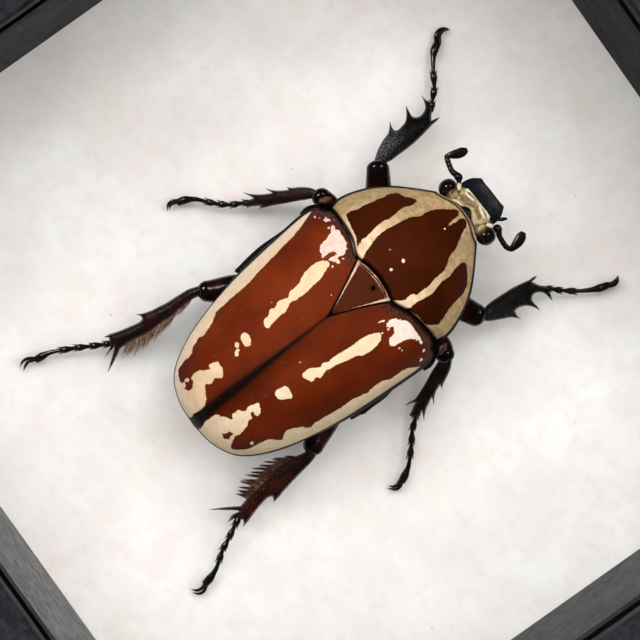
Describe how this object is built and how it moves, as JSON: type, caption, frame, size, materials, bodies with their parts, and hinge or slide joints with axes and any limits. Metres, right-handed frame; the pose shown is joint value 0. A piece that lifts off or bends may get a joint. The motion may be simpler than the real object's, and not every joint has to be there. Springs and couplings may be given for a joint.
{
  "type": "mounted flower beetle in a display case",
  "caption": "Large flower beetle with spread legs, mounted on white paper inside a square open-fronted shadow-box case that lies on its back.",
  "frame": {"origin": "centre of the case's back, on the level that the case lies on", "axes": "+Z out of the front of the case, +Y to the side that the beetle's head points to, +X to the beetle's right"},
  "size_m": [0.152, 0.152, 0.043],
  "materials": {
    "case_paint": "matt charcoal stain on moulding",
    "wall_stain": "rubbed grey stain",
    "board": "bare fibreboard",
    "paper": "off-white marbled paper",
    "cuticle_red": "polished red-brown chitin with cream patches",
    "cuticle_dark": "polished dark brown chitin with cream bands",
    "cuticle_black": "polished black chitin",
    "cuticle_brown": "polished brown chitin with rust bristles",
    "cream": "cream chitin, slightly dull",
    "steel": "cut pin"
  },
  "bodies": {
    "root": {"head": "cream", "clypeus": "cuticle_black", "eye_left": "cuticle_black", "eye_right": "cuticle_black", "antenna_left": "cuticle_black", "antenna_right": "cuticle_black", "pronotum": "cuticle_dark", "scutellum": "cuticle_dark", "elytron_left": "cuticle_red", "elytron_right": "cuticle_red", "epimeron_left": "cuticle_brown", "epimeron_right": "cuticle_brown", "thorax": "cuticle_black", "abdomen": "cuticle_black", "pygidium": "cuticle_black", "femur_front_left": "cuticle_black", "femur_front_right": "cuticle_black", "femur_mid_left": "cuticle_black", "femur_mid_right": "cuticle_black", "femur_hind_left": "cuticle_black", "femur_hind_right": "cuticle_black", "tibia_front_left": "cuticle_black", "tibia_front_right": "cuticle_black", "tibia_mid_left": "cuticle_black", "tibia_mid_right": "cuticle_black", "tibia_hind_left": "cuticle_brown", "tibia_hind_right": "cuticle_brown", "tarsus_front_left": "cuticle_black", "tarsus_front_right": "cuticle_black", "tarsus_mid_left": "cuticle_black", "tarsus_mid_right": "cuticle_black", "tarsus_hind_left": "cuticle_black", "tarsus_hind_right": "cuticle_black", "pin": "steel", "case_rail_left": "case_paint", "case_rail_right": "case_paint", "case_rail_head": "case_paint", "case_rail_foot": "case_paint", "case_wall_left": "wall_stain", "case_wall_right": "wall_stain", "case_wall_head": "wall_stain", "case_wall_foot": "wall_stain", "case_board": "board", "case_paper": "paper"}
  },
  "joints": []
}
